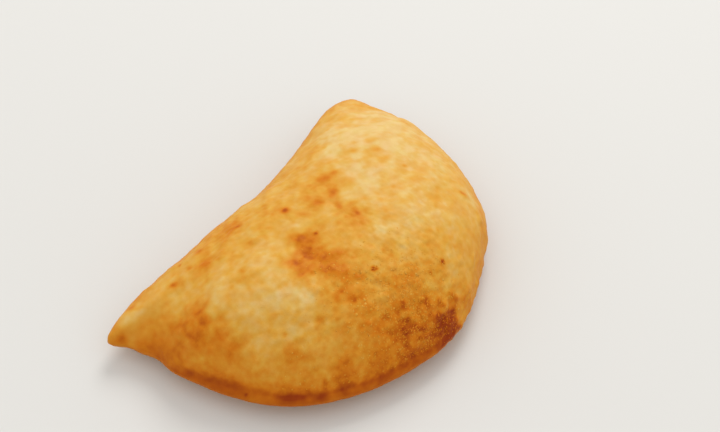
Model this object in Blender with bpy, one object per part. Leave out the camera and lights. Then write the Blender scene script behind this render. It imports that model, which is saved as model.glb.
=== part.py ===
"""Rissole: a round of dough folded over its filling, pressed shut along the round edge and fried.

It is shut all round, so it is one solid. It lies on its flat underside.
X runs along the fold, +Y is the fold's side, -Y is the sealed edge's side, and Z = 0 is the
surface that it lies on. It is shaped with the centre of the cut round of dough at X = Y = 0,
and moved at the end so that the middle of its box is there.
"""

from math import radians

import bmesh
import bpy
import numpy as np

MM = 0.001

# Outline, seen from above. Directions and half widths are in degrees, from +X towards +Y.
ROUND_RADIUS = 43.6 * MM            # radius of the dough where it was cut round
FOLD_DISTANCE = 16.4 * MM           # from the round's centre to the fold
CORNER_SHARPNESS = 9.0              # how tightly the fold turns into the round edge
STRETCH_TWICE_ROUND = 2.0 * MM      # how much longer than wide the dough was pulled, halved
STRETCH_THRICE_ROUND = -1.3 * MM
FOLD_BOW = -1.7 * MM                # how far the fold sinks in at its middle
FOLD_SWING = 0.8 * MM               # how far one half of the fold stands out past the other
OUTLINE_HUMPS = {                   # direction, half width, height
    "pulled tip": (153.5, 8.3, 7.0 * MM),
    "point of the pulled tip": (157.9, 2.9, 3.0 * MM),
    "near side of the pulled tip": (163.2, 4.9, 0.8 * MM),
    "blunt tip": (27.6, 7.2, 4.8 * MM),
    "neck beside the pulled tip": (181.6, 29.5, -3.6 * MM),
    "start of the lip": (177.4, 6.1, 0.6 * MM),
    "flat of the front edge": (294.3, 18.6, -3.2 * MM),
    "flat of the side edge": (334.4, 30.9, -3.6 * MM),
}

# Section, from the edge inwards
CROWN_PLACE = (1.0 * MM, -9.0 * MM)
CROWN_HEIGHT = 23.0 * MM
LIP_THICKNESS = 3.6 * MM            # two layers of dough, pressed together
LIP_WIDTH = 1.45 * MM               # from the edge to where the crust starts to swell
LIP_START = (187.0, 14.0)           # direction where the lip stands clear, and its fade
LIP_END = (240.0, 50.0)             # from here on the crust swells out over the lip
LIP_LEVEL = 5.0 * MM                # middle of the sealed edge above the surface
FOLD_START = (30.0, 14.0)           # direction where the fold starts, and its fade
FOLD_END = (150.0, 14.0)
FOLD_LEVEL = 9.0 * MM               # middle of the fold above the surface
TIP_LEVELS = {                      # direction, half width, rise over the sealed edge's level
    "pulled tip": (160.0, 14.0, -0.7 * MM),
    "blunt tip": (22.0, 14.0, 1.2 * MM),
}
CREASE_FILLET = 1.0 * MM
BELLY_SAG = 2.0 * MM                # how far past the surface it would sag, were it not flattened

# How soon the crust reaches its full height (power), and how steeply it leaves the edge
# (slope: 0.5 is upright, 1 is a ramp), at the fold and at the front
DOME_POWER_FOLD, DOME_POWER_FRONT = 2.3, 2.9
DOME_SLOPE_FOLD, DOME_SLOPE_FRONT = 0.50, 0.80
BELLY_POWER = 3.0

# Filling and air under the crust: place, half width, height
LUMPS = {
    "ridge over the front": (-22.0 * MM, -12.0 * MM, 8.0 * MM, 0.8 * MM),
    "ridge towards the pulled tip": (-27.0 * MM, 1.0 * MM, 8.0 * MM, 0.7 * MM),
    "dip beside the crown": (-12.0 * MM, -7.0 * MM, 6.0 * MM, -0.7 * MM),
    "lump over the side": (8.0 * MM, -21.0 * MM, 9.0 * MM, 0.7 * MM),
    "swell by the blunt tip": (24.0 * MM, 2.0 * MM, 10.0 * MM, 0.7 * MM),
}
LUMP_FADE = 8.0 * MM                # lumps rise to their height over this far from the crease

# Rings round the crown
INNER_SHARPNESS = 1.8               # the innermost rings turn their corners this softly
INNER_ROUNDING = 5.0                # how quickly the rings grow round inwards
RING_CROWDING = 0.75                # below 1, the rings stand closer together near the edge
TIP_CROWDING = ((158.0, 26.0), (27.0, 26.0))    # directions that the points crowd to, reach
TIP_CROWDING_SHARE = 0.6
SEGMENTS_ROUND = 104
SEGMENTS_UP = 46
TANGENT_STEP = radians(0.25)
NEVER_ZERO = 0.01                   # the least value of what something is divided by
SHARP_FROM = radians(50)            # turns sharper than this stay sharp when shaded

CRUST_COLOUR = "E0A14E"
CRUST_ROUGHNESS = 0.5


def turn_from(direction, angle):
    """The angle seen from a direction, in radians between -pi and pi."""
    return (angle - radians(direction) + np.pi) % (2 * np.pi) - np.pi


def bell(offset, half_width):
    """1 in the middle, falling to 0 on both sides."""
    return np.exp(-(offset / half_width) ** 2)


def smooth_step(value, low, high):
    """0 below low and 1 above high, with a smooth rise between them."""
    part = np.clip((value - low) / (high - low), 0, 1)
    return part * part * (3 - 2 * part)


def smooth_max(first, second, fillet):
    """The larger of two heights, with a fillet where they cross."""
    share = np.clip(0.5 + 0.5 * (first - second) / fillet, 0, 1)
    return second + (first - second) * share + fillet * share * (1 - share)


def stretch_share(angle, start, end):
    """1 along a stretch of the outline, fading to 0 at both ends (direction, fade)."""
    middle = (start[0] + end[0]) / 2
    half = (end[0] - start[0]) / 2
    away = np.degrees(turn_from(middle, angle))
    rising = smooth_step(away + half, -start[1], start[1])
    return rising * (1 - smooth_step(away - half, -end[1], end[1]))


def crossed_round(angle, sharpness):
    """The cut round crossed by the fold's line, with corners of the given sharpness."""
    round_edge = (
        ROUND_RADIUS + STRETCH_TWICE_ROUND * np.cos(2 * angle)
        + STRETCH_THRICE_ROUND * np.cos(3 * angle)
    )
    along = turn_from(90, angle) * 2
    fold_line = FOLD_DISTANCE + FOLD_BOW * np.cos(along) + FOLD_SWING * np.sin(along)
    fold_edge = fold_line / np.maximum(np.sin(angle), NEVER_ZERO)
    return (round_edge ** -sharpness + fold_edge ** -sharpness) ** (-1 / sharpness)


def points_at(angle, radius):
    return np.stack([radius * np.cos(angle), radius * np.sin(angle)], axis=-1)


def outline(angle):
    radius = crossed_round(angle, CORNER_SHARPNESS)
    for direction, half_width, height in OUTLINE_HUMPS.values():
        radius = radius + height * bell(turn_from(direction, angle), radians(half_width))
    return points_at(angle, radius)


def outward(angle):
    """Unit vector square to the outline, pointing away from the rissole."""
    along = outline(angle + TANGENT_STEP) - outline(angle - TANGENT_STEP)
    along /= np.linalg.norm(along, axis=-1, keepdims=True)
    return np.stack([along[..., 1], -along[..., 0]], axis=-1)


def lumps_height(place):
    height = 0
    for lump_x, lump_y, half_width, lump_height in LUMPS.values():
        away = np.hypot(place[..., 0] - lump_x, place[..., 1] - lump_y)
        height = height + lump_height * bell(away, half_width)
    return height


def crust(longitude, latitude):
    """Points of the crust: latitude is 90 degrees at the crown, 0 at the edge, -90 below.

    Each ring is the outline drawn in towards the crown, and turns rounder on its way.
    Above the lip the crust swells to the crown's height, and below it sags onto the surface.
    """
    angle = longitude
    for direction, reach in TIP_CROWDING:
        turn = turn_from(direction, longitude)
        angle = angle - TIP_CROWDING_SHARE * turn * bell(turn, radians(reach))

    crown = np.array(CROWN_PLACE)
    edge = outline(angle)
    soft_edge = points_at(angle, crossed_round(angle, INNER_SHARPNESS))
    ring = np.cos(latitude) ** RING_CROWDING
    likeness = ring[:, None] ** INNER_ROUNDING
    place = crown + ring[:, None] * (soft_edge + (edge - soft_edge) * likeness - crown)
    inset = np.maximum(np.sum(outward(angle) * (edge - place), axis=-1), 0)
    reach = np.sum(outward(angle) * (edge - crown), axis=-1)

    front = (1 - np.sin(angle)) / 2
    power = DOME_POWER_FOLD + (DOME_POWER_FRONT - DOME_POWER_FOLD) * front
    slope = DOME_SLOPE_FOLD + (DOME_SLOPE_FRONT - DOME_SLOPE_FOLD) * front
    level = LIP_LEVEL + (FOLD_LEVEL - LIP_LEVEL) * stretch_share(angle, FOLD_START, FOLD_END)
    for direction, half_width, rise in TIP_LEVELS.values():
        level = level + rise * bell(turn_from(direction, angle), radians(half_width))

    half = LIP_THICKNESS / 2
    lip_share = np.sqrt(1 - (1 - np.clip(inset / half, 0, 1)) ** 2)
    crease = LIP_WIDTH * stretch_share(angle, LIP_START, LIP_END)
    inward = np.clip((1 - ring - crease / reach) / (1 - crease / reach), 0, 1)
    dome = (CROWN_HEIGHT - level) * (1 - (1 - inward) ** power) ** slope
    fillet = CREASE_FILLET * np.maximum(lip_share, NEVER_ZERO)
    upper = level + smooth_max(half * lip_share, dome, fillet)
    upper += lumps_height(place) * smooth_step(inset, crease, crease + LUMP_FADE)
    belly = (level + BELLY_SAG) * (1 - (1 - inward) ** BELLY_POWER) ** slope
    lower = smooth_max(level - np.maximum(half * lip_share, belly), 0, CREASE_FILLET)
    height = np.where(latitude > 0, upper, lower)
    return np.column_stack([place, height])


def linear_colour(hex_colour):
    """sRGB hex to the linear values that a shader takes."""
    channels = np.array([int(hex_colour[i:i + 2], 16) / 255 for i in (0, 2, 4)])
    linear = np.where(channels <= 0.04045, channels / 12.92, ((channels + 0.055) / 1.055) ** 2.4)
    return (*linear, 1.0)


def fried_crust():
    material = bpy.data.materials.new("fried_crust")
    material.use_nodes = True
    shader = material.node_tree.nodes["Principled BSDF"]
    shader.inputs["Base Color"].default_value = linear_colour(CRUST_COLOUR)
    shader.inputs["Roughness"].default_value = CRUST_ROUGHNESS
    shader.inputs["Metallic"].default_value = 0.0
    return material


def rissole(collection):
    """A UV sphere whose points are moved to the crust, then centred over the origin."""
    shape = bmesh.new()
    bmesh.ops.create_uvsphere(
        shape, u_segments=SEGMENTS_ROUND, v_segments=SEGMENTS_UP, radius=1.0)
    on_ball = np.array([point.co for point in shape.verts])
    longitude = np.arctan2(on_ball[:, 1], on_ball[:, 0])
    latitude = np.arcsin(np.clip(np.round(on_ball[:, 2], 6), -1, 1))
    points = crust(longitude, latitude)
    points[:, :2] -= (points[:, :2].min(axis=0) + points[:, :2].max(axis=0)) / 2
    for vertex, point in zip(shape.verts, points):
        vertex.co = point

    mesh = bpy.data.meshes.new("rissole")
    shape.to_mesh(mesh)
    shape.free()
    mesh.shade_smooth()
    mesh.set_sharp_from_angle(angle=SHARP_FROM)
    mesh.materials.append(fried_crust())
    piece = bpy.data.objects.new("rissole", mesh)
    collection.objects.link(piece)
    return piece


def main():
    for old in list(bpy.data.objects):
        bpy.data.objects.remove(old, do_unlink=True)
    collection = bpy.data.collections.new("Rissole")
    bpy.context.scene.collection.children.link(collection)
    rissole(collection)


main()
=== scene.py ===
"""Rissole: the finish of its fried crust, its crumbs, and a plain studio round it.

The crust is the folded, pressed and filled half-moon of the part, worked out again on a fine
grid so that blisters, bubbles and browning fit on it. Crumbs lie sunk in it.
Lengths are in metres, written as millimetres times MM. Until it is placed over its solid, the
crust is worked out with the centre of the cut round of dough at X = Y = 0.
"""

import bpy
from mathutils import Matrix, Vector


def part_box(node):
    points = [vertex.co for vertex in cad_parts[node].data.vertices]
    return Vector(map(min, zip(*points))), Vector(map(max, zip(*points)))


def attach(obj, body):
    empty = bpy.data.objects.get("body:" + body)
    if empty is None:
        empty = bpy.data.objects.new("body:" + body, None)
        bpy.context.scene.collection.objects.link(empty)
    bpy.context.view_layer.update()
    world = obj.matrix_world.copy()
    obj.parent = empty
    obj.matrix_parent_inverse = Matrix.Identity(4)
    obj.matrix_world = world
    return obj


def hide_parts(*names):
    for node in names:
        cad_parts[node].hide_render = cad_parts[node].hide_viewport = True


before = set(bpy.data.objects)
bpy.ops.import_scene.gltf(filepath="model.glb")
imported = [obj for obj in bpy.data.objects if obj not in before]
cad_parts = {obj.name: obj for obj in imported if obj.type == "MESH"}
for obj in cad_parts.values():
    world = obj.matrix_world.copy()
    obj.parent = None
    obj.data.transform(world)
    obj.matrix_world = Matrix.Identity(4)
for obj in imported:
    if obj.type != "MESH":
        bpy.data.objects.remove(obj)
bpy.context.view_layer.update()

from collections import namedtuple
from math import cos, radians, sin

import bpy
import numpy as np
from mathutils import Vector

MM = 0.001

# Outline, seen from above. Directions and half widths are in degrees, from +X towards +Y.
ROUND_RADIUS = 43.6 * MM            # radius of the dough where it was cut round
FOLD_DISTANCE = 16.4 * MM           # from the round's centre to the fold
CORNER_SHARPNESS = 9.0              # how tightly the fold turns into the round edge
STRETCH_TWICE_ROUND = 2.0 * MM      # how much longer than wide the dough was pulled, halved
STRETCH_THRICE_ROUND = -1.3 * MM
FOLD_BOW = -1.7 * MM                # how far the fold sinks in at its middle
FOLD_SWING = 0.8 * MM               # how far one half of the fold stands out past the other
OUTLINE_HUMPS = {                   # direction, half width, height
    "pulled tip": (153.5, 8.3, 7.0 * MM),
    "point of the pulled tip": (157.9, 2.9, 3.0 * MM),
    "near side of the pulled tip": (163.2, 4.9, 0.8 * MM),
    "blunt tip": (27.6, 7.2, 4.8 * MM),
    "neck beside the pulled tip": (181.6, 29.5, -3.6 * MM),
    "start of the lip": (177.4, 6.1, 0.6 * MM),
    "flat of the front edge": (294.3, 18.6, -3.2 * MM),
    "flat of the side edge": (334.4, 30.9, -3.6 * MM),
}

# Section, from the edge inwards
CROWN_PLACE = (1.0 * MM, -9.0 * MM)
CROWN_HEIGHT = 23.0 * MM
LIP_THICKNESS = 3.6 * MM            # two layers of dough, pressed together
LIP_WIDTH = 1.45 * MM               # from the edge to where the crust starts to swell
LIP_START = (187.0, 14.0)           # direction where the lip stands clear, and its fade
LIP_END = (240.0, 50.0)             # from here on the crust swells out over the lip
LIP_LEVEL = 5.0 * MM                # middle of the sealed edge above the surface
FOLD_START = (30.0, 14.0)           # direction where the fold starts, and its fade
FOLD_END = (150.0, 14.0)
FOLD_LEVEL = 9.0 * MM               # middle of the fold above the surface
TIP_LEVELS = {                      # direction, half width, rise over the sealed edge's level
    "pulled tip": (160.0, 14.0, -0.7 * MM),
    "blunt tip": (22.0, 14.0, 1.2 * MM),
}
CREASE_FILLET = 1.0 * MM
BELLY_SAG = 2.0 * MM                # how far past the surface it would sag, were it not flattened
DOME_POWER_FOLD, DOME_POWER_FRONT = 2.3, 2.9    # how soon the crust reaches its full height
DOME_SLOPE_FOLD, DOME_SLOPE_FRONT = 0.50, 0.80  # 0.5 leaves the edge upright, 1 as a ramp
BELLY_POWER = 3.0

# Filling and air under the crust: place, half width, height
LUMPS = {
    "ridge over the front": (-22.0 * MM, -12.0 * MM, 8.0 * MM, 0.8 * MM),
    "ridge towards the pulled tip": (-27.0 * MM, 1.0 * MM, 8.0 * MM, 0.7 * MM),
    "dip beside the crown": (-12.0 * MM, -7.0 * MM, 6.0 * MM, -0.7 * MM),
    "lump over the side": (8.0 * MM, -21.0 * MM, 9.0 * MM, 0.7 * MM),
    "swell by the blunt tip": (24.0 * MM, 2.0 * MM, 10.0 * MM, 0.7 * MM),
}
LUMP_FADE = 8.0 * MM                # lumps rise to their height over this far from the crease

# Grid of the crust
INNER_SHARPNESS = 1.8               # the innermost rings turn their corners this softly
INNER_ROUNDING = 5.0                # how quickly the rings grow round inwards
TIP_CROWDING = ((158.0, 26.0), (27.0, 26.0))    # directions that the points crowd to, reach
TIP_CROWDING_SHARE = 0.6
STEPS_ROUND = 560
RINGS_ABOVE, RINGS_BELOW = 118, 48
EDGE_CROWDING = 1.35                # above 1, the rings stand closer together near the edge
TANGENT_STEP = radians(0.25)
NEVER_ZERO = 0.01                   # the least value of what something is divided by
LEAST_AREA = 1e-12                  # the same, where it is an area in square metres

# Relief of the crust: about how wide its hills are, how high, and a number that picks the pattern
SWELLS = (7.5 * MM, 0.10 * MM, 1)
BUBBLES = (2.6 * MM, 0.05 * MM, 2)
GRAIN = (1.15 * MM, 0.035 * MM, 3)
BLISTERS = (3.4 * MM, 0.16 * MM, 4)
BLISTERS_FROM = 1.0                 # only the tops of the hills above this spread are blisters
WAVES = 48                          # how many waves are summed to hills
WAVE_LENGTHS = (0.7, 1.5)           # the shortest and the longest of them, over their usual length
DENTS = {                           # place, half width, height
    "beside the crown": (-12.5 * MM, -10.0 * MM, 3.6 * MM, -0.40 * MM),
    "nearer the crown": (-8.0 * MM, -8.0 * MM, 2.4 * MM, -0.15 * MM),
    "behind the crown": (4.0 * MM, -4.5 * MM, 3.0 * MM, -0.15 * MM),
}

# How coarse the crust is, and where it is coarser or smoother: place, half width, amount
EVEN_COARSENESS = 0.55
COARSE_PLACES = {
    "heel": (-6.0 * MM, -32.0 * MM, 15.0 * MM, 0.75),
    "front": (-28.0 * MM, -18.0 * MM, 12.0 * MM, 0.25),
    "top of the blunt tip": (20.0 * MM, 0.0 * MM, 16.0 * MM, -0.30),
    "pulled tip": (-43.0 * MM, 13.0 * MM, 9.0 * MM, -0.30),
    "under the pulled tip": (-44.0 * MM, 5.0 * MM, 5.0 * MM, -0.30),
}
BROWNED_COARSENESS = 0.6            # coarser by this times how much browner a place is
LIP_SMOOTHNESS = 0.7                # share of the unevenness that pressing took off the lip
LEAST_COARSENESS = 0.05             # of the smoothest places

# Crumbs: smallest and largest width, how many, and a number that picks their places and shapes
FINE_CRUMBS = (0.28 * MM, 0.50 * MM, 1800, 21)
COARSE_CRUMBS = (0.50 * MM, 0.80 * MM, 300, 22)
SMALL_CRUMBS = 2                    # above 1, more of the crumbs are small
CRUMBS_FROM = 0.80                  # none lie where the crust is less coarse than this
CRUMBS_CROWDING = 1.5               # above 1, they crowd more where it is coarsest
CRUMBS_ABOVE = 0.4 * MM             # none lie lower over the surface, where it is pressed flat
CRUMB_STRETCHES = ((1.0, 1.5), (0.75, 1.0), (0.14, 0.28))   # along, across, upwards, over width
CRUMB_STEPS = 5                     # points in each of its two rings
CRUMB_RINGS = (-0.4636, 0.4636)     # how far the rings climb, in radians, as on an even ball
CRUMB_UNEVENNESS = 0.15             # how far its points are pushed in or out, as a share
CRUMB_SUNK = 0.50                   # share of its half height that a crumb's middle lies too low
CRUMB_BROWNING = 0.87               # share of the crust's browning
LEAST_CRUMB_BROWNING_AND_PAINTED_WARMTH = 0.45         # crumbs stay at least this brown: partly their own toasting, partly painted warmth in their shaded sides, as light scattered through dough would give
CRUMB_TONES = (-0.16, 0.02)         # how much paler or darker single crumbs are
CRUMB_COARSENESS = 0.25             # of a crumb's own surface

# Toasting of the crust, from 0 for pale dough to 1 for the darkest brown
EVEN_BROWNING = 0.32
LIP_BROWNING = 0.11                 # more on the pressed lip
CREASE_BROWNING_AND_SHADE = 0.10              # more in the crease: partly toasting, partly painted shade where the crease lies in shadow
EDGE_BROWNING = 0.20                # more along the outermost edge
UNDERSIDE_PAINTED_SHADE = 0.12           # painted shade: the faces turned down are darker, as if they lay in shade
EDGE_WIDTH = 2.5 * MM
UPPER_SIDE = (-0.3, 0.1)            # how far a place faces up for the painted shade of the underside to end

# Where the lip and its crease show as a band of their own: directions and their fades
SEAM_START, SEAM_END = (177.0, 7.0), (264.0, 8.0)
CREASE_BOTTOM = 0.2 * MM            # how much further in it is than where the crust starts to swell
CREASE_WIDTH = 0.50 * MM

# What breaks the browning up: about how wide, how much, and a number that picks the pattern
BROWNING_RIPPLES = ((7.0 * MM, 0.045, 11), (3.2 * MM, 0.042, 12), (1.5 * MM, 0.030, 13))
RIPPLES_ON_PALE = 1.2               # times that, where the crust isn't browned at all
RIPPLES_LOST = 0.9                  # less by this times the browning
MOST_LOST_AT = 0.8                  # no lower where it is browner than this
RIPPLES_LOST_AT_EDGE = 0.5          # share that they lose along the edge
RAGGED = ((6.0 * MM, 0.7 * MM), (2.2 * MM, 0.4 * MM))    # patches' outlines: how wide, how far out
RAGGED_SEEDS = (31, 32)

# Where it is toasted darker or stayed paler, and in the crown's middle partly painted shade: place,
# half width, amount
BROWNED_AND_SHADED = {
    "heel": (-2.1 * MM, -39.3 * MM, 3.5 * MM, 0.46),
    "above the heel": (-2.2 * MM, -30.8 * MM, 4.8 * MM, 0.27),
    "front beside the heel": (-9.6 * MM, -35.1 * MM, 4.9 * MM, 0.43),
    "front, further on": (-18.9 * MM, -32.4 * MM, 6.2 * MM, 0.32),
    "end of the dark front": (-26.8 * MM, -28.7 * MM, 2.7 * MM, 0.25),
    "lower front": (-34.5 * MM, -23.1 * MM, 7.6 * MM, 0.25),
    "edge beyond the heel": (6.4 * MM, -37.3 * MM, 2.1 * MM, 0.12),
    "patch by the crown": (-11.6 * MM, -9.4 * MM, 4.2 * MM, 0.33),
    "front half of that patch": (-15.9 * MM, -10.6 * MM, 2.2 * MM, 0.14),
    "tail of that patch": (-12.5 * MM, -15.2 * MM, 4.3 * MM, 0.18),
    "end of that tail": (-12.0 * MM, -23.2 * MM, 6.3 * MM, 0.23),
    "left slope": (-37.7 * MM, 1.0 * MM, 4.9 * MM, 0.37),
    "foot of the left slope": (-38.5 * MM, -7.2 * MM, 6.3 * MM, 0.30),
    "under the pulled tip": (-43.1 * MM, 9.1 * MM, 7.5 * MM, 0.26),
    "ridge towards the pulled tip": (-24.1 * MM, -2.7 * MM, 3.5 * MM, 0.26),
    "cloud behind the crown": (6.4 * MM, -2.2 * MM, 3.7 * MM, 0.30),
    "near end of that cloud": (2.6 * MM, -6.0 * MM, 2.7 * MM, 0.21),
    "past the crown": (2.5 * MM, -11.8 * MM, 2.4 * MM, 0.24),
    "along the fold": (-23.8 * MM, 8.1 * MM, 4.5 * MM, 0.20),
    "middle of the fold": (-13.7 * MM, 10.0 * MM, 4.2 * MM, 0.17),
    "blunt end of the fold": (14.8 * MM, 8.5 * MM, 3.2 * MM, 0.16),
    "below the blunt tip": (19.8 * MM, -4.4 * MM, 3.3 * MM, 0.18),
    "low on the side": (7.8 * MM, -29.3 * MM, 2.8 * MM, 0.17),
    "paler top of the blunt tip": (20.4 * MM, 4.5 * MM, 7.9 * MM, -0.27),
    "paler side of the blunt tip": (24.9 * MM, -4.7 * MM, 4.3 * MM, -0.21),
    "paler blunt tip": (34.0 * MM, 1.4 * MM, 9.4 * MM, -0.25),
    "paler behind the crown": (11.1 * MM, -5.1 * MM, 6.6 * MM, -0.17),
    "paler side": (12.0 * MM, -17.0 * MM, 12.4 * MM, -0.18),
    "paler side edge": (29.7 * MM, -14.4 * MM, 7.5 * MM, -0.14),
    "paler low on the side": (27.6 * MM, -27.5 * MM, 2.4 * MM, -0.17),
    "paler ridge over the front": (-21.8 * MM, -15.4 * MM, 4.6 * MM, -0.22),
    "paler ridge towards the pulled tip": (-24.9 * MM, -4.1 * MM, 10.6 * MM, -0.19),
    "dark patch on the heel": (1.4 * MM, -38.4 * MM, 1.9 * MM, 0.16),
    "end of the heel": (4.0 * MM, -38.2 * MM, 1.5 * MM, 0.12),
    "paler top of the heel": (-2.6 * MM, -36.6 * MM, 1.6 * MM, -0.14),
    "heel's far edge": (-0.6 * MM, -39.2 * MM, 1.7 * MM, 0.25),
    "low beside the heel": (-9.0 * MM, -36.4 * MM, 1.7 * MM, 0.18),
    "paler spot by the heel": (-12.6 * MM, -37.4 * MM, 1.4 * MM, -0.14),
    "paler spot above the heel": (-9.0 * MM, -33.2 * MM, 1.4 * MM, -0.18),
    # painted shade: the crown's middle is darkened, partly toasting, partly the shade of a shallow
    # hollow that the form lacks
    "toasting and painted shade in the crown's middle": (0.0 * MM, -13.5 * MM, 4.2 * MM, 0.18),
    "slope past the patch": (-11.8 * MM, -15.0 * MM, 4.6 * MM, 0.17),
    "far along the fold": (-16.5 * MM, 9.0 * MM, 5.0 * MM, 0.07),
    "paler pulled tip": (-40.0 * MM, 15.6 * MM, 4.0 * MM, -0.22),
}

# Small flecks, toasted darker or left paler: place, half width, amount
FLECKS = {
    "middle of the patch by the crown": (-11.7 * MM, -9.0 * MM, 1.7 * MM, 0.22),
    "back half of that patch": (-10.3 * MM, -6.6 * MM, 1.2 * MM, 0.18),
    "front half of that patch": (-15.6 * MM, -10.4 * MM, 1.0 * MM, 0.16),
    "near end of that patch": (-16.8 * MM, -8.2 * MM, 1.5 * MM, 0.26),
    "hollow of that patch": (-17.2 * MM, -12.0 * MM, 1.5 * MM, 0.14),
    "dot in that patch": (-6.9 * MM, -8.4 * MM, 0.5 * MM, 0.50),
    "dot past the crown": (-6.8 * MM, -23.4 * MM, 0.5 * MM, 0.70),
    "tail of that dot": (-6.2 * MM, -23.9 * MM, 0.4 * MM, 0.40),
    "beside the fold": (-5.2 * MM, 1.2 * MM, 1.1 * MM, 0.60),
    "between the fold and the crown": (-0.4 * MM, -3.7 * MM, 1.4 * MM, 0.34),
    "behind the patch": (-5.0 * MM, -2.2 * MM, 1.2 * MM, 0.16),
    "past the crown": (1.6 * MM, -8.3 * MM, 0.9 * MM, 0.28),
    "on the dark front": (-17.0 * MM, -21.4 * MM, 0.9 * MM, 0.30),
    "below the one on the dark front": (-15.1 * MM, -21.2 * MM, 0.8 * MM, 0.24),
    "tail of that one": (-14.7 * MM, -23.9 * MM, 0.9 * MM, 0.24),
    "under the pale ridge": (-22.6 * MM, -21.2 * MM, 0.9 * MM, 0.22),
    "over the side": (25.4 * MM, -24.6 * MM, 0.8 * MM, 0.50),
    "dot low on the side": (6.1 * MM, -32.5 * MM, 0.5 * MM, 0.75),
    "dot beside the low one": (1.9 * MM, -32.2 * MM, 0.5 * MM, 0.40),
    "above the edge": (3.2 * MM, -37.6 * MM, 0.7 * MM, 0.30),
    "near the blunt tip": (17.8 * MM, -0.9 * MM, 0.9 * MM, 0.22),
    "past the one near the blunt tip": (21.1 * MM, -4.6 * MM, 0.8 * MM, 0.26),
    "by the pulled tip": (-31.0 * MM, 12.1 * MM, 0.9 * MM, 0.44),
    "nearer the fold": (-26.0 * MM, 11.6 * MM, 0.8 * MM, 0.22),
    "on the fold": (-21.5 * MM, 12.6 * MM, 0.9 * MM, 0.22),
    "on the pulled tip": (-37.8 * MM, 15.6 * MM, 0.7 * MM, 0.26),
    "on the ridge": (-16.4 * MM, 2.0 * MM, 1.3 * MM, 0.16),
    "on the left slope": (-36.0 * MM, 0.4 * MM, 1.1 * MM, 0.12),
    "low on the left slope": (-37.0 * MM, -8.2 * MM, 1.1 * MM, 0.10),
    "blotch behind the crown": (6.8 * MM, 0.0 * MM, 1.5 * MM, 0.24),
    "behind that blotch": (9.2 * MM, -1.2 * MM, 1.1 * MM, 0.20),
    "blotch nearer the crown": (4.3 * MM, -4.8 * MM, 1.3 * MM, 0.28),
    "at the crown": (2.2 * MM, -12.7 * MM, 0.8 * MM, 0.20),
    "beside the crown": (3.7 * MM, -9.8 * MM, 0.7 * MM, 0.20),
    "far on the blunt side": (20.9 * MM, -12.1 * MM, 0.6 * MM, 0.30),
    "middle of the blunt side": (20.1 * MM, -7.8 * MM, 0.8 * MM, 0.20),
    "on the blunt side": (13.6 * MM, -14.2 * MM, 0.6 * MM, 0.20),
    "at the fold's edge": (-25.7 * MM, 14.7 * MM, 0.5 * MM, 0.40),
    "at the middle of the fold": (-12.9 * MM, 8.5 * MM, 0.6 * MM, 0.30),
    "blotch by the fold": (-24.2 * MM, 8.7 * MM, 1.4 * MM, 0.22),
    "below the fold": (-23.1 * MM, -1.0 * MM, 0.9 * MM, 0.26),
    "under the fold's middle": (-16.2 * MM, 2.8 * MM, 1.2 * MM, 0.14),
    "streak above the heel": (-3.2 * MM, -35.0 * MM, 1.2 * MM, 0.26),
    "streak beside it": (-8.5 * MM, -31.9 * MM, 1.2 * MM, 0.26),
    "streak below that one": (-11.3 * MM, -35.0 * MM, 1.2 * MM, 0.24),
    "spot over the end of the lip": (-29.5 * MM, -27.3 * MM, 0.8 * MM, 0.22),
    "paler spot between the streaks": (-7.8 * MM, -35.1 * MM, 1.1 * MM, -0.15),
    "paler spot by the heel's top": (-0.9 * MM, -38.2 * MM, 0.9 * MM, -0.16),
    "spot behind the patch": (-6.9 * MM, -2.1 * MM, 1.0 * MM, 0.20),
    "on the tip's far side": (-38.6 * MM, 18.0 * MM, 0.8 * MM, 0.30),
    "under the tip's point": (-44.7 * MM, 16.2 * MM, 1.2 * MM, 0.20),
    "dot over the front": (-29.0 * MM, -16.7 * MM, 0.5 * MM, 0.30),
}

# Marks along the edge: direction, half width (degrees), how far in, half width, amount
EDGE_MARKS = {
    "streak below the crease": (213.0, 4.2, 0.8 * MM, 0.5 * MM, 0.26),
    "lip along the front": (197.0, 6.0, 0.9 * MM, 1.2 * MM, 0.12),
    "end of that streak": (221.7, 2.0, 0.6 * MM, 0.7 * MM, 0.20),
    "dot on the lip": (199.7, 0.5, 0.5 * MM, 0.3 * MM, 0.25),
    "heel's edge": (266.0, 3.5, 1.6 * MM, 1.6 * MM, 0.22),
    "paler start of the lip": (184.0, 8.0, 2.2 * MM, 1.5 * MM, -0.14),
}

# Studio
CAMERA_AROUND, CAMERA_ABOVE = -54.3, 50.0       # degrees
CAMERA_DISTANCE = 454.0 * MM
CAMERA_TARGET = (16.25 * MM, 5.8 * MM, 4.8 * MM)
CAMERA_LENS, CAMERA_SENSOR = 100.0, 36.0        # millimetres
CAMERA_SEES = (0.01, 10.0)
FLOOR_SIZE = 3.0
FLOOR_COLOUR, FLOOR_ROUGHNESS, FLOOR_GLOSS = "D9D7D2", 0.9, 0.1
KEY_FROM = (0.66, 0.24, 0.71)
KEY_DISTANCE, KEY_SIZE, KEY_POWER = 0.9, 0.45, 3.4
FILL_COLOUR, FILL_STRENGTH = "FFFFFF", 0.9


def turn_from(direction, angle):
    """The angle seen from a direction, in radians between -pi and pi."""
    return (angle - radians(direction) + np.pi) % (2 * np.pi) - np.pi


def bell(offset, half_width):
    """1 in the middle, falling to 0 on both sides."""
    return np.exp(-(offset / half_width) ** 2)


def smooth_step(value, low, high):
    """0 below low and 1 above high, with a smooth rise between them."""
    part = np.clip((value - low) / (high - low), 0, 1)
    return part * part * (3 - 2 * part)


def smooth_max(first, second, fillet):
    """The larger of two heights, with a fillet where they cross."""
    share = np.clip(0.5 + 0.5 * (first - second) / fillet, 0, 1)
    return second + (first - second) * share + fillet * share * (1 - share)


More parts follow.
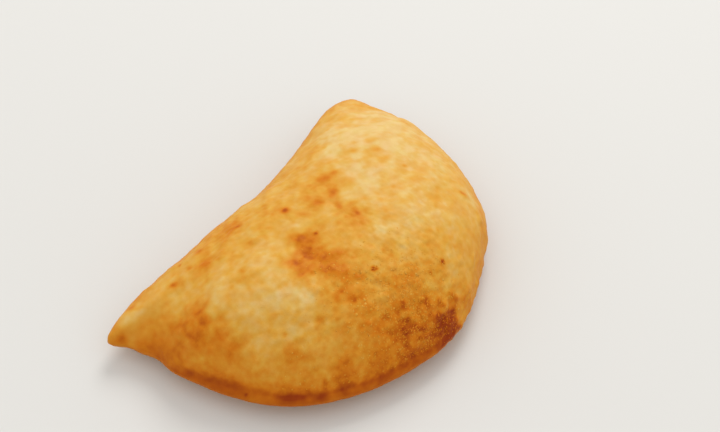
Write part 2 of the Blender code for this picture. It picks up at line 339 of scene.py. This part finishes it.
def stretch_share(angle, start, end):
    """1 along a stretch of the outline, fading to 0 at both ends (direction, fade)."""
    middle = (start[0] + end[0]) / 2
    half = (end[0] - start[0]) / 2
    away = np.degrees(turn_from(middle, angle))
    rising = smooth_step(away + half, -start[1], start[1])
    return rising * (1 - smooth_step(away - half, -end[1], end[1]))


def crossed_round(angle, sharpness):
    """Distance of the cut round crossed by the fold's line: one over each distance, raised to
    the sharpness, summed, and turned back."""
    round_edge = (
        ROUND_RADIUS + STRETCH_TWICE_ROUND * np.cos(2 * angle)
        + STRETCH_THRICE_ROUND * np.cos(3 * angle)
    )
    along = turn_from(90, angle) * 2
    fold_line = FOLD_DISTANCE + FOLD_BOW * np.cos(along) + FOLD_SWING * np.sin(along)
    fold_edge = fold_line / np.maximum(np.sin(angle), NEVER_ZERO)
    return (round_edge ** -sharpness + fold_edge ** -sharpness) ** (-1 / sharpness)


def points_at(angle, radius):
    return np.stack([radius * np.cos(angle), radius * np.sin(angle)], axis=-1)


def outline(angle):
    """The crossed round with a bell-shaped hump or hollow in each named direction."""
    radius = crossed_round(angle, CORNER_SHARPNESS)
    for direction, half_width, height in OUTLINE_HUMPS.values():
        radius = radius + height * bell(turn_from(direction, angle), radians(half_width))
    return points_at(angle, radius)


def outward(angle):
    """Unit vector square to the outline, pointing away from the rissole."""
    along = outline(angle + TANGENT_STEP) - outline(angle - TANGENT_STEP)
    along /= np.linalg.norm(along, axis=-1, keepdims=True)
    return np.stack([along[..., 1], -along[..., 0]], axis=-1)


def bells_over(points, places):
    """The sum of round bells over named places (x, y, half width, amount), seen from above."""
    total = np.zeros(points.shape[:-1])
    for x, y, half_width, amount in places.values():
        away = np.hypot(points[..., 0] - x, points[..., 1] - y)
        total += amount * bell(away, half_width)
    return total


def crust(direction, ring, above):
    """The crust's form over a direction (radians) and a ring (1 at the edge, 0 at the crown).

    Each ring is the outline drawn in towards the crown, and turns rounder on its way. Above the
    lip the crust swells to the crown's height as one less a power of the way that is left, and
    below it sags onto the surface. Returns the points, how far in from the edge they are, how
    far in the crease's bottom is there, and how clearly it shows (0 to 1).
    """
    angle = direction
    for middle, reach in TIP_CROWDING:
        turn = turn_from(middle, direction)
        angle = angle - TIP_CROWDING_SHARE * turn * bell(turn, radians(reach))

    crown = np.array(CROWN_PLACE)
    edge = outline(angle)
    soft_edge = points_at(angle, crossed_round(angle, INNER_SHARPNESS))
    likeness = ring[..., None] ** INNER_ROUNDING
    place = crown + ring[..., None] * (soft_edge + (edge - soft_edge) * likeness - crown)
    inset = np.maximum(np.sum(outward(angle) * (edge - place), axis=-1), 0)
    reach = np.sum(outward(angle) * (edge - crown), axis=-1)

    front = (1 - np.sin(angle)) / 2
    power = DOME_POWER_FOLD + (DOME_POWER_FRONT - DOME_POWER_FOLD) * front
    slope = DOME_SLOPE_FOLD + (DOME_SLOPE_FRONT - DOME_SLOPE_FOLD) * front
    level = LIP_LEVEL + (FOLD_LEVEL - LIP_LEVEL) * stretch_share(angle, FOLD_START, FOLD_END)
    for middle, half_width, rise in TIP_LEVELS.values():
        level = level + rise * bell(turn_from(middle, angle), radians(half_width))

    half = LIP_THICKNESS / 2
    lip_share = np.sqrt(1 - (1 - np.clip(inset / half, 0, 1)) ** 2)
    crease = LIP_WIDTH * stretch_share(angle, LIP_START, LIP_END)
    inward = np.clip((1 - ring - crease / reach) / (1 - crease / reach), 0, 1)
    dome = (CROWN_HEIGHT - level) * (1 - (1 - inward) ** power) ** slope
    fillet = CREASE_FILLET * np.maximum(lip_share, NEVER_ZERO)
    upper = level + smooth_max(half * lip_share, dome, fillet)
    upper += bells_over(place, LUMPS) * smooth_step(inset, crease, crease + LUMP_FADE)
    belly = (level + BELLY_SAG) * (1 - (1 - inward) ** BELLY_POWER) ** slope
    lower = smooth_max(level - np.maximum(half * lip_share, belly), 0, CREASE_FILLET)
    height = np.where(above, upper, lower)
    seam = stretch_share(angle, SEAM_START, SEAM_END)
    return np.concatenate([place, height[..., None]], axis=-1), inset, crease + CREASE_BOTTOM, seam


# The crust's form on its grid: its points and normals, how far in from the edge each is, and how
# much it belongs to the pressed lip and to the crease above it (0 to 1)
Form = namedtuple("Form", "points normals inset on_lip in_crease")

# The finished crust on the same grid: its points with their relief, how browned and how coarse
Surface = namedtuple("Surface", "points normals browned coarse")


def crust_grid():
    """The crust on rows from the underside's middle up to the crown, each row one turn round."""
    from_edge = (np.arange(1, RINGS_ABOVE) / RINGS_ABOVE) ** EDGE_CROWDING
    up_to_edge = (np.arange(RINGS_BELOW - 1, -1, -1) / RINGS_BELOW) ** EDGE_CROWDING
    rings = np.concatenate([1 - up_to_edge, 1 - from_edge])
    above = np.concatenate([np.zeros(RINGS_BELOW, bool), np.ones(RINGS_ABOVE - 1, bool)])
    direction = np.linspace(0, 2 * np.pi, STEPS_ROUND, endpoint=False)
    shape = (len(rings), STEPS_ROUND)
    points, inset, bottom, seam = crust(
        np.broadcast_to(direction, shape),
        np.broadcast_to(rings[:, None], shape),
        np.broadcast_to(above[:, None], shape),
    )
    on_lip = seam * (1 - smooth_step(inset, bottom - CREASE_WIDTH, bottom + CREASE_WIDTH))
    # the crease's share, which carries its toasting and its painted shade
    in_crease = seam * bell(inset - bottom, CREASE_WIDTH) * above[:, None]
    return Form(points, outward_normals(points), inset, on_lip, in_crease)


def outward_normals(grid):
    """Unit vectors square to the grid: the cross product of its steps round and its steps up."""
    round_steps = np.roll(grid, -1, axis=1) - np.roll(grid, 1, axis=1)
    up_steps = np.gradient(grid, axis=0)
    normals = np.cross(round_steps, up_steps)
    return normals / np.maximum(np.linalg.norm(normals, axis=-1, keepdims=True), LEAST_AREA)


def ripples(points, wavelength, seed):
    """Uneven hills about half a wavelength across: many plane waves of about that length, in
    random directions and phases, summed and scaled so that their spread is 1."""
    pick = np.random.default_rng(seed)
    directions = pick.normal(size=(3, WAVES))
    directions /= np.linalg.norm(directions, axis=0)
    lengths = wavelength * pick.uniform(*WAVE_LENGTHS, WAVES)
    phases = pick.uniform(0, 2 * np.pi, WAVES)
    return np.cos(points @ (directions * 2 * np.pi / lengths) + phases).sum(-1) * (2 / WAVES) ** 0.5


def hills(points, kind):
    """Ripples of a kind, which is how wide they are, how high, and what picks their pattern."""
    wavelength, height, seed = kind
    return height * ripples(points, wavelength, seed)


def ragged(points):
    """The points moved sideways by ripples, so that a patch over them has a ragged outline."""
    moved = points.copy()
    for wavelength, distance in RAGGED:
        for axis, seed in enumerate(RAGGED_SEEDS):
            moved[..., axis] += distance * ripples(points, wavelength, seed)
    return moved


def edge_marks(form):
    """The sum of bells over the direction and over how far in from the edge, for each mark."""
    angle = np.arctan2(form.points[..., 1], form.points[..., 0])
    total = np.zeros(form.inset.shape)
    for direction, half_width, inset, depth, amount in EDGE_MARKS.values():
        along = bell(turn_from(direction, angle), radians(half_width))
        total += amount * along * bell(form.inset - inset, depth)
    return total


def finished(form):
    """The crust's browning, coarseness and relief.

    Browning is 0 for pale and 1 for dark: an even share, more on the lip, in the crease (there
    partly painted shade) and along the edge, painted shade on the faces turned down, and more or
    less over the named places, one of them partly painted shade. Ripples break it up, most where
    the crust is pale and away from its edge. Coarseness is an even share, more where it is
    browner, more or less over its places, and less on the pressed lip. The relief is swells,
    then bubbles, grain and blisters as high as the crust is coarse, and the dents.
    """
    points = form.points
    above = smooth_step(form.normals[..., 2], *UPPER_SIDE)
    places = bells_over(ragged(points), BROWNED_AND_SHADED) + bells_over(points, FLECKS) + edge_marks(form)
    browned = (
        # painted shade: the crease is darkened beyond its toasting
        EVEN_BROWNING + LIP_BROWNING * form.on_lip + CREASE_BROWNING_AND_SHADE * form.in_crease
        # painted shade: the faces turned down are darkened here
        + EDGE_BROWNING * bell(form.inset, EDGE_WIDTH) + UNDERSIDE_PAINTED_SHADE * (1 - above)
        + places * above
    )
    coarse = (
        EVEN_COARSENESS + bells_over(points, COARSE_PLACES)
        + BROWNED_COARSENESS * np.clip(browned - EVEN_BROWNING, 0, 1)
    )
    rough_share = 1 - LIP_SMOOTHNESS * form.on_lip
    coarse = np.maximum(coarse * rough_share, LEAST_COARSENESS)
    rippled = RIPPLES_ON_PALE - RIPPLES_LOST * np.clip(browned, 0, MOST_LOST_AT)
    rippled *= rough_share * (1 - RIPPLES_LOST_AT_EDGE * bell(form.inset, EDGE_WIDTH))
    for kind in BROWNING_RIPPLES:
        browned = browned + hills(points, kind) * rippled

    width, height, seed = BLISTERS
    blisters = height * np.maximum(ripples(points, width, seed) - BLISTERS_FROM, 0)
    relief = (
        hills(points, SWELLS) * rough_share
        + (hills(points, BUBBLES) + hills(points, GRAIN) + blisters) * coarse
        + bells_over(points, DENTS)
    )
    points = points + form.normals * relief[..., None]
    points[..., 2] = np.maximum(points[..., 2], 0)
    return Surface(points, form.normals, np.clip(browned, 0, 1), coarse)


def closed_faces(rows, steps):
    """Faces of a grid that is closed round, with a point below its first row and one above its
    last: quads between the rows and triangles to both points, all facing outwards."""
    here = np.arange(steps)
    after = np.roll(here, -1)
    low, high = rows * steps, rows * steps + 1
    lower = (np.arange(rows - 1) * steps)[:, None]
    quads = np.stack([lower + here, lower + after, lower + steps + after, lower + steps + here], -1)
    last = (rows - 1) * steps
    caps = np.concatenate([
        np.stack([after, here, np.full(steps, low)], -1),
        np.stack([last + here, last + after, np.full(steps, high)], -1),
    ])
    return quads.reshape(-1, 4), caps


def make_piece(name, points, quads, triangles, material, browned, coarse):
    """A mesh of quads and triangles that carries the browning and coarseness of its points."""
    mesh = bpy.data.meshes.new(name)
    mesh.vertices.add(len(points))
    mesh.vertices.foreach_set("co", points.astype(np.float32).ravel())
    mesh.loops.add(quads.size + triangles.size)
    mesh.loops.foreach_set(
        "vertex_index", np.concatenate([quads.ravel(), triangles.ravel()]).astype(np.int32))
    sizes = np.concatenate([np.full(len(quads), 4), np.full(len(triangles), 3)])
    mesh.polygons.add(len(sizes))
    mesh.polygons.foreach_set("loop_start", (np.cumsum(sizes) - sizes).astype(np.int32))
    mesh.update(calc_edges=True)
    mesh.validate()
    mesh.shade_smooth()
    for label, values in (("browning", browned), ("coarseness", coarse)):
        layer = mesh.attributes.new(label, "FLOAT", "POINT")
        layer.data.foreach_set("value", values.astype(np.float32).ravel())
    mesh.materials.append(material)
    piece = bpy.data.objects.new(name, mesh)
    bpy.context.scene.collection.objects.link(piece)
    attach(piece, "root")
    return piece


def with_ends(values):
    """A grid's values row by row, then the mean of its first row and of its last."""
    ends = np.stack([values[0].mean(0), values[-1].mean(0)])
    return np.concatenate([values.reshape(-1, *values.shape[2:]), ends])


def crust_piece(surface, shift, material):
    quads, caps = closed_faces(*surface.coarse.shape)
    piece = make_piece(
        "crust", with_ends(surface.points) + shift, quads, caps, material,
        with_ends(surface.browned), with_ends(surface.coarse))
    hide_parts("rissole")


def crumbs_piece(name, kind, surface, shift, material):
    """Crumbs strewn over the crust and sunk in it.

    Each is a ball of two rings of points and two ends, with every point pushed in or out,
    flattened, drawn longer one way, and turned to lie along the crust. They are strewn by the
    area that each point of the grid stands for, and more where the crust is coarser.
    """
    smallest, largest, count, seed = kind
    pick = np.random.default_rng(seed)
    grid = surface.points
    round_steps = np.linalg.norm(np.roll(grid, -1, axis=1) - grid, axis=-1)
    up_steps = np.linalg.norm(np.gradient(grid, axis=0), axis=-1)
    crowding = np.maximum(surface.coarse - CRUMBS_FROM, 0) ** CRUMBS_CROWDING
    weight = round_steps * up_steps * crowding
    weight[grid[..., 2] < CRUMBS_ABOVE] = 0
    weight[:1] = weight[-2:] = 0                    # none beside the ends of the grid
    chosen = pick.choice(weight.size, count, p=weight.ravel() / weight.sum())
    row, column = np.divmod(chosen, grid.shape[1])
    along, up = pick.uniform(0, 1, (2, count, 1))
    next_column = (column + 1) % grid.shape[1]
    centre = (
        grid[row, column] * (1 - along) * (1 - up) + grid[row, next_column] * along * (1 - up)
        + grid[row + 1, column] * (1 - along) * up + grid[row + 1, next_column] * along * up
    )
    normal = surface.normals[row, column]
    sideways = np.cross(normal, pick.normal(size=(count, 3)))
    sideways /= np.linalg.norm(sideways, axis=-1, keepdims=True)
    axes = np.stack([sideways, np.cross(normal, sideways), normal], axis=1)

    climb = np.array(CRUMB_RINGS)[:, None]
    turn = np.arange(CRUMB_STEPS) * 2 * np.pi / CRUMB_STEPS + [[0.0], [np.pi / CRUMB_STEPS]]
    rings = np.stack([
        np.cos(climb) * np.cos(turn), np.cos(climb) * np.sin(turn),
        np.broadcast_to(np.sin(climb), turn.shape)], -1)
    ball = np.concatenate([rings.reshape(-1, 3), [[0, 0, -1], [0, 0, 1]]])
    width = smallest + (largest - smallest) * pick.uniform(0, 1, count) ** SMALL_CRUMBS
    stretch = np.stack([width / 2 * pick.uniform(*limits, count) for limits in CRUMB_STRETCHES], -1)
    uneven = pick.uniform(1 - CRUMB_UNEVENNESS, 1 + CRUMB_UNEVENNESS, (count, len(ball), 1))
    offsets = ball * uneven * stretch[:, None, :]
    offsets[..., 2] -= CRUMB_SUNK * stretch[:, None, 2]
    points = centre[:, None, :] + np.einsum("cpa,cax->cpx", offsets, axes)
    points[..., 2] = np.maximum(points[..., 2], 0)
    browned = surface.browned[row, column]
    # painted light, in part: crumbs are kept browner so that their shaded sides read warm brown
    browned = np.maximum(CRUMB_BROWNING * browned, LEAST_CRUMB_BROWNING_AND_PAINTED_WARMTH)
    browned += pick.uniform(*CRUMB_TONES, count)

    quads, caps = closed_faces(len(CRUMB_RINGS), CRUMB_STEPS)
    first = (np.arange(count) * len(ball))[:, None, None]
    make_piece(
        name, points.reshape(-1, 3) + shift, (quads + first).reshape(-1, 4),
        (caps + first).reshape(-1, 3), material, np.repeat(browned, len(ball)),
        np.full(count * len(ball), CRUMB_COARSENESS))


def linear_colour(hex_colour):
    """sRGB hex to the linear values that a shader takes."""
    channels = np.array([int(hex_colour[i:i + 2], 16) / 255 for i in (0, 2, 4)])
    linear = np.where(channels <= 0.04045, channels / 12.92, ((channels + 0.055) / 1.055) ** 2.4)
    return (*linear, 1.0)


def add(tree, kind, values=None, links=None, **properties):
    """Adds a node with its properties, its sockets' values, and links into its sockets."""
    made = tree.nodes.new(kind)
    for name, value in properties.items():
        setattr(made, name, value)
    for socket, value in (values or {}).items():
        made.inputs[socket].default_value = value
    for socket, source in (links or {}).items():
        tree.links.new(source, made.inputs[socket])
    return made


# How the crust looks from pale dough to the darkest toasting
TOASTING = (
    (0.00, "DBBC77"),
    (0.18, "D9AD58"),
    (0.35, "D7A03D"),
    (0.52, "D28D27"),
    (0.68, "CB7812"),
    (0.82, "B55D05"),
    (1.00, "933904"),
)
OILY_TINT = "F9F4E1"                # where more oil has soaked in, it is darker and more orange
FLOURY_TINT = "FFF7FF"              # where flour still lies on the dough, it is pinker

# Noises: how wide their hills are, and how many finer layers they have
MOTTLE = (1.3 * MM, 3.0)
OILY_CLOUDS = (2.2 * MM, 3.0)
FLOURY_CLOUDS = (3.1 * MM, 4.0)
GRIT = (0.55 * MM, 2.0)
MOTTLE_FROM, MOTTLE_TO = 0.25, 0.75     # the noise's values that shift the toasting the most
MOTTLE_SHIFT = 0.09                     # how far they shift it, up and down, at a coarseness of 1
TINT_FROM, TINT_TO = 0.35, 0.65         # no tint below the first value, all of it from the second
GRIT_STRENGTH, GRIT_HEIGHT = 0.6, 0.08 * MM
CRUST_ROUGHNESS, CRUST_IOR, CRUST_GLOSS = 0.5, 1.45, 0.1

# A mix node's colour sockets, which share their names with its other sockets
MIX_SHARE, MIX_FIRST, MIX_SECOND, MIX_RESULT = 0, 6, 7, 2


def noise(tree, where, kind):
    """A noise of a kind, which is how wide its hills are and how many finer layers it has."""
    size, detail = kind
    values = {"Scale": 1 / size, "Detail": detail}
    return add(tree, "ShaderNodeTexNoise", values, {"Vector": where}).outputs["Fac"]


def tinted(tree, where, colour, kind, tint):
    """The colour multiplied by a tint where a noise of that kind is high."""
    share = add(
        tree, "ShaderNodeMapRange", {"From Min": TINT_FROM, "From Max": TINT_TO},
        {"Value": noise(tree, where, kind)}).outputs["Result"]
    return add(
        tree, "ShaderNodeMix", {MIX_SECOND: linear_colour(tint)},
        {MIX_SHARE: share, MIX_FIRST: colour},
        data_type="RGBA", blend_type="MULTIPLY").outputs[MIX_RESULT]


def fried_crust():
    """Flour dough, crumbed and deep-fried: matt and sandy from its crumbs, mottled from pale gold
    to brown, with a thin film of oil that gives a soft sheen."""
    material = bpy.data.materials.new("fried_crust")
    material.use_nodes = True
    tree = material.node_tree
    shader = tree.nodes["Principled BSDF"]
    where = add(tree, "ShaderNodeTexCoord").outputs["Object"]
    browned = add(tree, "ShaderNodeAttribute", attribute_name="browning").outputs["Fac"]
    coarse = add(tree, "ShaderNodeAttribute", attribute_name="coarseness").outputs["Fac"]
    shift = add(
        tree, "ShaderNodeMapRange",
        {"From Min": MOTTLE_FROM, "From Max": MOTTLE_TO,
         "To Min": -MOTTLE_SHIFT, "To Max": MOTTLE_SHIFT},
        {"Value": noise(tree, where, MOTTLE)}).outputs["Result"]
    total = add(
        tree, "ShaderNodeMath", links={0: shift, 1: coarse, 2: browned}, operation="MULTIPLY_ADD")
    ramp = add(tree, "ShaderNodeValToRGB", links={"Fac": total.outputs[0]})
    stops = ramp.color_ramp.elements
    while len(stops) < len(TOASTING):
        stops.new(0.5)                              # each is moved to its place below
    for stop, (position, colour) in zip(stops, TOASTING):
        stop.position = position
        stop.color = linear_colour(colour)
    oily = tinted(tree, where, ramp.outputs["Color"], OILY_CLOUDS, OILY_TINT)
    floury = tinted(tree, where, oily, FLOURY_CLOUDS, FLOURY_TINT)
    tree.links.new(floury, shader.inputs["Base Color"])

    grit = noise(tree, where, GRIT)
    height = add(tree, "ShaderNodeMath", links={0: grit, 1: coarse}, operation="MULTIPLY")
    bump = add(
        tree, "ShaderNodeBump", {"Strength": GRIT_STRENGTH, "Distance": GRIT_HEIGHT},
        {"Height": height.outputs[0]})
    tree.links.new(bump.outputs["Normal"], shader.inputs["Normal"])
    shader.inputs["Roughness"].default_value = CRUST_ROUGHNESS
    shader.inputs["IOR"].default_value = CRUST_IOR
    shader.inputs["Specular IOR Level"].default_value = CRUST_GLOSS
    return material


def matt_paper():
    """Paper pressed from pulp and left uncoated: an even warm grey-white without any gloss."""
    material = bpy.data.materials.new("matt_paper")
    material.use_nodes = True
    shader = material.node_tree.nodes["Principled BSDF"]
    shader.inputs["Base Color"].default_value = linear_colour(FLOOR_COLOUR)
    shader.inputs["Roughness"].default_value = FLOOR_ROUGHNESS
    shader.inputs["Specular IOR Level"].default_value = FLOOR_GLOSS
    return material


def studio():
    """A pale floor, one large soft light from behind and above, and an even fill."""
    mesh = bpy.data.meshes.new("floor")
    half = FLOOR_SIZE / 2
    corners = [(-half, -half, 0), (half, -half, 0), (half, half, 0), (-half, half, 0)]
    mesh.from_pydata(corners, [], [(0, 1, 2, 3)])
    mesh.materials.append(matt_paper())
    floor = bpy.data.objects.new("floor", mesh)
    bpy.context.scene.collection.objects.link(floor)

    light = bpy.data.lights.new("softbox", "AREA")
    light.shape = "DISK"
    light.size = KEY_SIZE
    light.energy = KEY_POWER
    key = bpy.data.objects.new("softbox", light)
    towards = Vector(KEY_FROM).normalized()
    key.location = towards * KEY_DISTANCE
    key.rotation_euler = towards.to_track_quat("Z", "Y").to_euler()
    bpy.context.scene.collection.objects.link(key)

    world = bpy.data.worlds.new("studio")
    world.use_nodes = True
    background = world.node_tree.nodes["Background"]
    background.inputs["Color"].default_value = linear_colour(FILL_COLOUR)
    background.inputs["Strength"].default_value = FILL_STRENGTH
    bpy.context.scene.world = world


def camera():
    around, above = radians(CAMERA_AROUND), radians(CAMERA_ABOVE)
    back = Vector((sin(around) * cos(above), -cos(around) * cos(above), sin(above)))
    lens = bpy.data.cameras.new("camera")
    lens.lens = CAMERA_LENS
    lens.sensor_width = CAMERA_SENSOR
    lens.clip_start, lens.clip_end = CAMERA_SEES
    seen_from = bpy.data.objects.new("camera", lens)
    seen_from.location = Vector(CAMERA_TARGET) + back * CAMERA_DISTANCE
    seen_from.rotation_euler = back.to_track_quat("Z", "Y").to_euler()
    bpy.context.scene.collection.objects.link(seen_from)
    bpy.context.scene.camera = seen_from


def main():
    form = crust_grid()
    low, high = (np.array(corner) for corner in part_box("rissole"))
    own_middle = (form.points.min(axis=(0, 1)) + form.points.max(axis=(0, 1))) / 2
    shift = (low + high) / 2 - own_middle
    shift[2] = 0
    surface = finished(form)
    material = fried_crust()
    crust_piece(surface, shift, material)
    crumbs_piece("fine_crumbs", FINE_CRUMBS, surface, shift, material)
    crumbs_piece("coarse_crumbs", COARSE_CRUMBS, surface, shift, material)
    studio()
    camera()
    bpy.context.scene.view_settings.view_transform = "Standard"


main()
